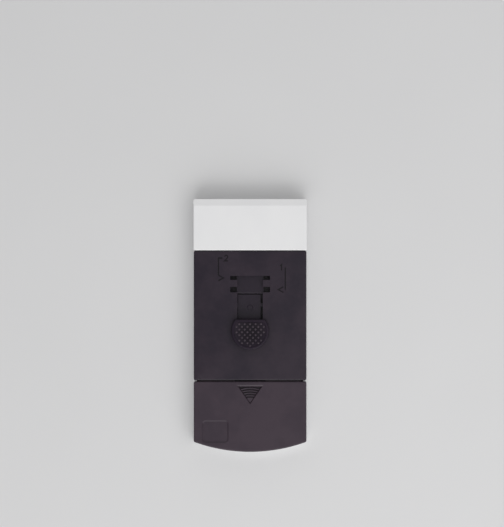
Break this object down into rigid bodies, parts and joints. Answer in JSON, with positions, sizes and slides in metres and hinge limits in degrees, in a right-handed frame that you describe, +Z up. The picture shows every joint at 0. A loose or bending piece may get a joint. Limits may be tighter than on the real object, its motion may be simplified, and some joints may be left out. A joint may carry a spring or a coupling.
{
  "type": "ceramic hob scraper",
  "caption": "Flat pocket scraper for glass ceramic hobs: white tray and head, black cover with a sliding lock button, and a lid over a store for spare blades.",
  "frame": {"origin": "middle of the footprint, on the flat underside", "axes": "+Y towards the blade's mouth, +Z up out of the black side with the button, +X to the right when the tool is seen from above with the mouth ahead"},
  "size_m": [0.052, 0.116, 0.0126],
  "materials": {
    "white_plastic": "smooth white moulding",
    "black_plastic": "satin black moulding",
    "blade_steel": "ground steel strip"
  },
  "bodies": {
    "shell": {"chassis": "white_plastic", "head_cap": "white_plastic", "top_cover": "black_plastic", "spare_blade_1": "blade_steel", "spare_blade_2": "blade_steel"},
    "slider": {"blade_carrier": "black_plastic", "fitted_blade": "blade_steel"},
    "latch": {"lock_tongue": "black_plastic", "thumb_button": "black_plastic"},
    "lid": {"storage_lid": "black_plastic"}
  },
  "joints": [
    {"name": "blade_slide", "type": "slide", "parent": "shell", "child": "slider", "axis": [0, 1, 0], "range_m": [0, 0.01235]},
    {"name": "button_press", "type": "hinge", "parent": "slider", "child": "latch", "pos_m": [0, -0.018, 0.0066], "axis": [-1, 0, 0], "range_deg": [0, 2.6], "stiffness_Nm_per_rad": 0.5, "springref_deg": -2.86},
    {"name": "lid_slide", "type": "slide", "parent": "shell", "child": "lid", "axis": [0, -1, 0], "range_m": [0, 0.026]}
  ]
}
